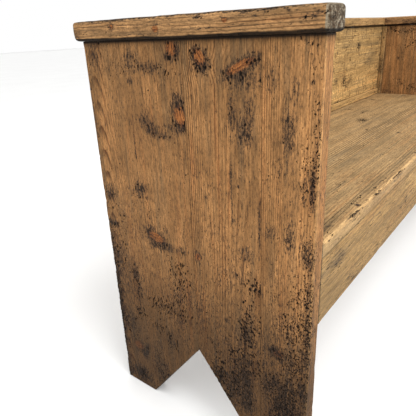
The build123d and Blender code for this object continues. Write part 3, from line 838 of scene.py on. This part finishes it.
# Marks on the near end's outer face: y, z, reach across, reach along, dirt, worm holes
NEAR_REAR_MARKS = (
    (112, 718, 18, 24, 0.7, 0.25),
    (196, 716, 24, 20, 0.6, 0.3),
    (150, 700, 30, 14, 0.2, 0.25),
    (30, 690, 26, 12, 0.2, 0.25),
    (117, 682, 8, 5, 0.8, 0.1),
    (70, 704, 32, 12, 0.75, 0.3),
    # Painted shadow: the dark line under the cap, with a few worm holes
    (200, 738, 24, 5, 0.6, 0.3),
    (28, 721, 10, 9, 0.9, 0.3),
    (10, 728, 6, 12, 0.8, 0.3),
    (15, 655, 16, 14, 0.85, 0.3),
    (22, 612, 24, 10, 0.8, 0.35),
    (92, 618, 15, 10, 0.85, 0.3),
    (76, 606, 16, 11, 0.9, 0.3),
    (52, 596, 24, 8, 0.85, 0.3),
    (118, 491, 18, 13, 1.0, 0.35),
    (121, 560, 1.8, 40, 0.9, 0.1),
    (145, 486, 12, 7, 0.3, 0.1),
    (125, 475, 30, 4, 0.45, 0.3),
    (90, 400, 14, 6, 0.45, 0.1),
    (97, 383, 11, 8, 1.0, 0.2),
    (66, 385, 22, 9, 0.8, 0.2),
    (108, 408, 8, 12, 0.5, 0.2),
    (130, 425, 40, 50, 0.25, 0.1),
    (30, 386, 13, 9, 0.6, 0.4),
    (66, 417, 13, 7, 0.5, 0.1),
    (100, 417, 8, 7, 0.4, 0.1),
    (40, 338, 28, 28, 0.1, 0.8),
    (38, 290, 26, 30, 0.1, 0.5),
    (205, 468, 15, 18, 0.8, 0.3),
    (206, 402, 18, 8, 0.8, 0.8),
    (200, 330, 24, 45, 0.5, 0.5),
    (162, 303, 12, 24, 0.7, 0.7),
    (156, 262, 10, 28, 0.5, 0.5),
    (157, 205, 16, 16, 0.3, 1.0),
    (90, 246, 38, 24, 0.1, 0.8),
    (30, 245, 26, 12, 0.1, 0.6),
    (105, 190, 26, 14, 0.2, 0.6),
    (70, 165, 30, 25, 0.4, 0.4),
    (160, 95, 11, 14, 1.0, 0.3),
    (150, 116, 8, 12, 0.6, 0.3),
    (175, 35, 28, 22, 0.6, 0.4),
    (224, 210, 14, 240, 0.9, 0.8),
    (218, 300, 10, 60, 0.6, 0.8),
    (222, 600, 4, 100, 0.6, 0.2),
    (180, 420, 26, 60, 0.15, 0.25),
    (110, 60, 26, 40, 0.4, 0.4),
    (190, 160, 22, 40, 0.45, 0.4),
)
NEAR_MIDDLE_MARKS = (
    (-9, 386, 4, 6, 0.9, 0.2),
    (-38, 706, 12, 7, 0.8, 0.35),
    (-36, 708, 20, 16, 0.55, 0.3),
    (-110, 690, 36, 14, 0.65, 0.38),
    (-125, 712, 14, 12, 0.65, 0.3),
    (-88, 645, 7, 34, 0.75, 0.3),
    (-110, 615, 14, 24, 0.9, 0.3),
    (-117, 650, 9, 26, 0.7, 0.2),
    (-33, 505, 5, 5, 0.8, 0.0),
    (-87, 475, 5, 5, 0.7, 0.0),
    (-97, 533, 3, 3, 0.9, 0.2),
    (-84, 547, 3, 4, 0.9, 0.2),
    (-84, 530, 1.7, 45, 1.0, 0.1),
    (-134, 468, 1.7, 50, 1.0, 0.1),
    (-50, 450, 13, 10, 0.3, 0.1),
    (-112, 422, 14, 14, 0.6, 0.1),
    (-60, 376, 15, 12, 0.2, 0.2),
    (-90, 378, 6, 6, 0.5, 0.5),
    (-130, 363, 24, 14, 0.3, 0.9),
    (-118, 290, 18, 38, 0.25, 0.6),
    (-105, 262, 11, 22, 0.65, 0.7),
    (-68, 277, 4, 5, 0.9, 0.1),
    (-35, 210, 13, 18, 0.45, 0.2),
    (-52, 175, 8, 12, 0.1, 0.7),
    (-45, 143, 15, 14, 0.5, 0.8),
    (-80, 215, 10, 20, 0.1, 0.4),
    (-80, 155, 12, 30, 0.4, 0.5),
    (-110, 160, 15, 42, 0.5, 0.3),
    (-110, 112, 20, 20, 0.6, 0.3),
    (-60, 130, 40, 60, 0.35, 0.4),
    (-90, 270, 60, 130, 0.22, 0.15),
    (-120, 210, 30, 40, 0.25, 0.4),
)
NEAR_FRONT_MARKS = (
    (-171, 252, 7, 5, 1.0, 0.2),
    (-180, 622, 11, 38, 0.9, 0.25),
    (-186, 682, 8, 20, 0.65, 0.2),
    (-170, 570, 12, 15, 0.3, 0.1),
    (-184, 520, 10, 30, 0.25, 0.1),
    (-185, 470, 9, 28, 0.85, 0.2),
    (-152, 467, 12, 14, 0.6, 0.1),
    (-150, 690, 14, 24, 0.5, 0.2),
    (-206, 735, 20, 8, 0.3, 0.4),
    (-212, 690, 5, 40, 0.3, 0.4),
    (-219, 600, 5, 60, 0.4, 0.9),
    (-206, 585, 10, 36, 0.15, 0.42),
    (-214, 450, 12, 28, 0.85, 0.6),
    (-217, 548, 4, 34, 0.9, 0.9),
    (-205, 545, 6, 20, 0.5, 0.6),
    (-220, 340, 6, 90, 0.5, 1.0),
    (-205, 362, 15, 36, 0.15, 0.8),
    (-195, 310, 22, 26, 0.15, 0.9),
    (-160, 256, 12, 9, 0.8, 0.5),
    (-215, 195, 8, 26, 0.85, 0.3),
    (-205, 250, 22, 40, 0.4, 0.7),
    (-155, 180, 15, 30, 0.65, 0.5),
    (-190, 150, 30, 60, 0.45, 0.7),
    (-200, 40, 24, 40, 0.6, 0.7),
    (-185, 230, 60, 140, 0.3, 0.15),
    (-190, 90, 60, 90, 0.3, 0.2),
)

# Bands of strong grain on the near end: y, reach and strength
NEAR_BANDS = (
    (-8, 14, 0.8),
    (48, 5, 0.3),
    (205, 16, 0.5),
    (-62, 8, 0.3),
    (-98, 10, 0.3),
    (-150, 14, 0.3),
)

# Painted light and shade on the near end, darker towards the rear and lighter at the front: y, reach
# and change of brightness
NEAR_PAINTED_LIGHT = ((-200, 18, 0.3), (225, 50, -0.1), (110, 60, -0.05))

# Painted highlights and shaded lines in the thickness of the near front board, along its front edge:
# x, reach and change of brightness
NEAR_EDGE_PAINTED_LIGHT = (
    (-796.5, 1.3, 0.22),
    (-793, 1.2, -0.3),
    (-786, 4, -0.08),
    (-777, 1.5, 0.12),
    (-773.5, 1.2, -0.3),
)

# Marks on the far end's inner face, as for the near end
FAR_MARKS = (
    (150, 728, 30, 12, 0.3, 0.8),
    (95, 720, 30, 10, 0.3, 0.8),
    (40, 724, 40, 10, 0.3, 0.7),
    (110, 612, 5, 6, 1.0, 0.0),
    (60, 690, 40, 50, 0.2, 0.4),
    (90, 510, 20, 16, 0.3, 0.5),
    (40, 490, 30, 20, 0.3, 0.5),
    (150, 470, 40, 10, 0.5, 0.2),
)


def make_end_panels(finish):
    """Both end panels: three upright boards each."""
    seams = {"rear": [(Y, 0)], "middle": [(Y, 0), (Y, 1)], "front": [(Y, 1)]}
    notches = {"rear": 1, "middle": -1, "front": None}
    # The near end carries painted light and shade in bands across it.
    near = dict(rub=1.6, dent_count=26, bands=NEAR_BANDS, lights=NEAR_PAINTED_LIGHT)
    near_boards = {
        "rear": dict(
            step=2.1, knots=NEAR_REAR_KNOTS, marks=NEAR_REAR_MARKS, pith=(96, 62, 0.05),
            spacing=2.2, tone=-0.1, hole_count=900, hole_size=(0.8, 2.1),
        ),
        "middle": dict(
            step=1.7, knots=NEAR_MIDDLE_KNOTS, marks=NEAR_MIDDLE_MARKS, pith=(-60, 80, 0.02),
            tone=-0.1, hole_count=620, hole_size=(0.8, 1.9),
        ),
        # The front board also has painted highlights and shaded lines along its front edge.
        "front": dict(
            step=1.4, knots=NEAR_FRONT_KNOTS, marks=NEAR_FRONT_MARKS, pith=(-160, 90, 0.0),
            hole_count=1200, hole_size=(0.6, 1.4), painted_edge_light_bands=NEAR_EDGE_PAINTED_LIGHT,
        ),
    }
    # The far end's colour is lifted slightly as painted light.
    far = dict(
        step=3.2, radius=2.8, marks=FAR_MARKS, scattered=20, pith=(30, 190, 0.01), spacing=2.4,
        tone=-0.3, painted_light=1.04, hole_count=260, hole_size=(0.9, 2.2), dent_count=22,
    )
    wood = finish["end_board"]
    for part in ("rear", "middle", "front"):
        both = dict(tight=seams[part] + [(Z, 1)], notch=notches[part], grime=0.35)
        plank(f"left_end_{part}_board", "end_board", wood, Z, **both, **near, **near_boards[part])
        plank(f"right_end_{part}_board", "end_board", wood, Z, **both, **far)


# ---------------------------------------------------------------- caps, back, seat and frame


# The near cap's outer side: z, y, radius or reach across and along, then as for the end panels
NEAR_CAP_KNOTS = ((767, 133, 3, 4, 0, 0.9), (760, 36, 4, 5, 0, 0.7), (766, -89, 2.5, 4, 0, 0.4))
NEAR_CAP_MARKS = (
    (772, -42, 3.0, 9, 1.0, 0.8),
    (766, 133, 4.0, 5, 0.6, 0.4),
    (760, 36, 3.0, 4, 0.3, 0.2),
    (778, 20, 2.4, 300, 1.0, 0.2),
    (777, 120, 3.0, 40, 1.0, 0.3),
    (777, -140, 3.0, 50, 1.0, 0.3),
    (758, -60, 1.2, 90, 0.6, 0.0),
    (766, 60, 1.0, 60, 0.6, 0.0),
    (769, -120, 1.0, 50, 0.6, 0.0),
    (754, 90, 1.0, 70, 0.5, 0.0),
    (774, -118, 2.2, 7, 0.9, 0.8),
    (773, -150, 2.0, 6, 0.5, 0.9),
    (773, -182, 2.0, 4, 0.9, 0.5),
    (763, -208, 5.0, 14, 0.6, 0.6),
    (768, -222, 3.0, 8, 0.8, 0.8),
    (777, 190, 2.5, 26, 0.9, 0.3),
    (777, 60, 2.0, 50, 0.6, 0.2),
    (777, -110, 2.0, 60, 0.6, 0.4),
    (756, 222, 5.0, 12, 0.6, 0.3),
)


def make_caps(finish):
    """The caps of the end panels and of the backrest."""
    near = dict(knots=NEAR_CAP_KNOTS, marks=NEAR_CAP_MARKS, hole_count=90, hole_size=(0.6, 1.4))
    for side, extra in (("left", near), ("right", {})):
        # Painted shadow: each cap's rounded underside is painted black, and painted shade darkens
        # the cap a little.
        plank(
            f"{side}_end_cap", "cap_wood", finish["cap_wood_y"], Y, wide=Z, step=1.8,
            along_step=2.4, radius=6.0, dent_count=60, dent_depth=1.8, spacing=4.2,
            pith=(70, 14, 0.006), grime=0.15, tone=-0.1, under_shade=1.0, painted_light=0.92, **extra,
        )
    # Painted shadow on the back rail cap's underside.
    plank(
        "back_rail_cap", "cap_wood", finish["cap_wood_x"], X, step=3.0, along_step=6.0,
        radius=6.0, tight=BUTTED, dent_count=40, grime=0.25, under_shade=0.8,
    )


def make_back(finish):
    """The two backrest boards and the strips in front of them."""
    # Painted light and shade: the upper board is darkened and the lower brightened, blending across
    # their joint.
    upper = dict(tight=BUTTED + [(Z, 0)], tone=-0.2, painted_light=0.84, lights=((595, 70, 0.26),))
    lower = dict(tight=BUTTED + [(Z, 1)], painted_light=1.34, lights=((595, 70, -0.24),))
    for node, look in (("back_upper_board", upper), ("back_lower_board", lower)):
        plank(
            node, "back_board", finish["back_board"], X, step=3.4, along_step=6.0, radius=1.2,
            scattered=36, grime=0.3, hole_count=200, **look,
        )
    # The base strip is brightened as a painted highlight.
    plank(
        "back_base_strip", "strip_wood", finish["strip_wood_x"], X, step=1.6, along_step=7.0,
        tight=BUTTED + [(Z, 0)], grime=0.2, tone=0.2, painted_light=1.1,
    )
    for side in ("left", "right"):
        plank(
            f"{side}_corner_strip", "strip_wood", finish["strip_wood_z"], Z, step=1.6,
            along_step=6.0, tight=[(Z, 0), (Z, 1)], grime=0.2,
        )


# Marks on top of the seat's front board: y, x, reach across and along, dirt, worm holes
SEAT_FRONT_MARKS = (
    (-206, -735, 7, 50, 0.75, 0.3),
    (-192, -700, 5, 16, 0.7, 0.6),
    (-204, -600, 4, 60, 0.25, 0.4),
    (-212, -480, 3, 60, 0.25, 0.4),
    (-224, -640, 3, 30, 0.9, 0.5),
    (-220, -575, 2, 20, 0.5, 0.5),
    (-224, -520, 3, 24, 0.8, 0.5),
    (-219, -440, 2, 26, 0.5, 0.4),
    (-224, -380, 3, 40, 0.8, 0.5),
    (-150, -520, 8, 30, 0.35, 0.3),
    (-110, -650, 6, 60, 0.35, 0.3),
    (-84, -480, 5, 70, 0.4, 0.3),
    (-206, 200, 5, 120, 0.4, 0.3),
    (-212, 560, 5, 90, 0.5, 0.4),
)


def make_seat(finish):
    """The seat's two boards, and the apron and rear rail under them."""
    wood = finish["seat_board"]
    # Painted light and shade on the seat's front board: a highlight along the nosing, a shaded line
    # behind it, slight shade further back and a slightly darker board.
    plank(
        "seat_front_board", "seat_board", wood, X, step=3.0, along_step=5.0, radius=5.5,
        tight=BUTTED + [(Y, 1), (Z, 0)], marks=SEAT_FRONT_MARKS, marked_side=1, scattered=26,
        pith=(150, 20, 0.01), spacing=7.0, bands=((-200, 12, 0.6), (-150, 10, 0.25), (-84, 12, 0.8)),
        painted_light=0.95, lights=((-222, 3, 0.34), (-206, 6, -0.12), (-150, 50, -0.06)),
        hole_count=160, dent_count=60, grime=0.25, tone=0.1,
    )
    plank(
        "seat_rear_board", "seat_board", wood, X, step=3.4, along_step=6.0, radius=1.5,
        tight=BUTTED + [(Y, 0), (Y, 1)], scattered=20, pith=(190, 30, -0.01), spacing=7.5,
        bands=((-50, 22, 1.0), (-5, 8, 0.4), (40, 14, 0.5), (120, 10, 0.3)),
        hole_count=80, grime=0.25, tone=-0.1,
    )
    plank(
        "front_apron", "apron_wood", finish["apron_wood"], X, step=3.2, along_step=6.0,
        radius=2.0, tight=BUTTED + [(Z, 1)], grime=0.25, spacing=5.0,
    )
    plank(
        "rear_rail", "frame_wood", finish["frame_wood_x"], X, along_step=8.0, radius=1.5,
        tight=BUTTED, grime=0.3,
    )


def make_frame(finish):
    """The hidden frame: bearers, cleats, batten and corner blocks."""
    bearer = dict(step=3.5, radius=1.2, grime=0.3)
    for side in ("left", "right", "centre"):
        plank(f"{side}_seat_bearer", "frame_wood", finish["frame_wood_y"], Y, **bearer)
    upright = dict(step=3.5, along_step=5.0, radius=1.5, grime=0.3)
    for node in ("left_back_cleat", "right_back_cleat", "back_centre_batten"):
        plank(node, "frame_wood", finish["frame_wood_z"], Z, **upright)
    for side, place in itertools.product(("left", "right"), ("front", "rear")):
        dress(f"{side}_{place}_block", finish["block_wood"])


def dress(node, material):
    """A CAD node that keeps its mesh gets its finish."""
    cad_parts[node].data.materials[0] = material


def dress_hardware(finish):
    """Nails, pins, screws and dowels keep their CAD meshes."""
    for name in HARDWARE_IN_SIGHT:
        dress(name, finish["nail_iron"])
    for name in ("bearer_screws", "cleat_screws"):
        dress(name, finish["screw_steel"])
    for side in ("left", "right"):
        dress(f"{side}_end_dowels", finish["dowel_wood"])


# ---------------------------------------------------------------- studio


FLOOR_HALF = 30.0
FLOOR_THICK = 0.02


def make_floor():
    """A plain pale floor, wide enough to fill every view."""
    g = Graph("floor_paint")
    cloud = g.noise(g.place(), 1.5, 3.0, 0.5)
    shade = g.mix(g.ease(cloud, 0.3, 0.7), colour(248, 248, 247), colour(251, 251, 250))
    paint = g.surface(shade, 0.9, cloud, 0.1 * MM)
    side = np.linspace(-FLOOR_HALF, FLOOR_HALF, 13)
    points, quads = box_surface([side, side, np.array((-FLOOR_THICK, 0.0))])
    floor = new_object("floor", points, quads, paint, {})


def add_light(name, place, target, size, power):
    """A soft square light that faces its target."""
    lamp = bpy.data.lights.new(name, "AREA")
    lamp.size = size
    lamp.energy = power
    holder = bpy.data.objects.new(name, lamp)
    holder.location = place
    holder.rotation_mode = "QUATERNION"
    holder.rotation_quaternion = (Vector(target) - Vector(place)).to_track_quat("-Z", "Y")
    bpy.context.scene.collection.objects.link(holder)


def make_studio():
    """World light, two soft lights and true colours."""
    world = bpy.data.worlds.new("studio")
    world.use_nodes = True
    background = world.node_tree.nodes["Background"]
    background.inputs["Color"].default_value = (1.0, 1.0, 1.0, 1.0)
    background.inputs["Strength"].default_value = 1.0
    bpy.context.scene.world = world
    add_light("key", (-1.0, -2.6, 4.2), (-0.2, 0.0, 0.4), 2.6, 150)
    add_light("fill", (-2.2, -1.5, 1.5), (-0.8, -0.2, 0.5), 1.0, 9)
    bpy.context.scene.view_settings.view_transform = "Standard"


def make_camera():
    """The camera, which looks down at the near end and along the seat."""
    lens = bpy.data.cameras.new("camera")
    lens.lens = CAMERA_LENS
    lens.sensor_width = CAMERA_SENSOR
    lens.clip_end = 100.0
    camera = bpy.data.objects.new("camera", lens)
    camera.location = CAMERA_PLACE
    camera.rotation_mode = "QUATERNION"
    level = (CAMERA_TARGET - CAMERA_PLACE).to_track_quat("-Z", "Y")
    camera.rotation_quaternion = level @ Quaternion((0.0, 0.0, 1.0), CAMERA_ROLL)
    bpy.context.scene.collection.objects.link(camera)
    bpy.context.scene.camera = camera


make_camera()
make_studio()
make_floor()
finishes = make_materials()
make_end_panels(finishes)
make_caps(finishes)
make_back(finishes)
make_seat(finishes)
make_frame(finishes)
dress_hardware(finishes)
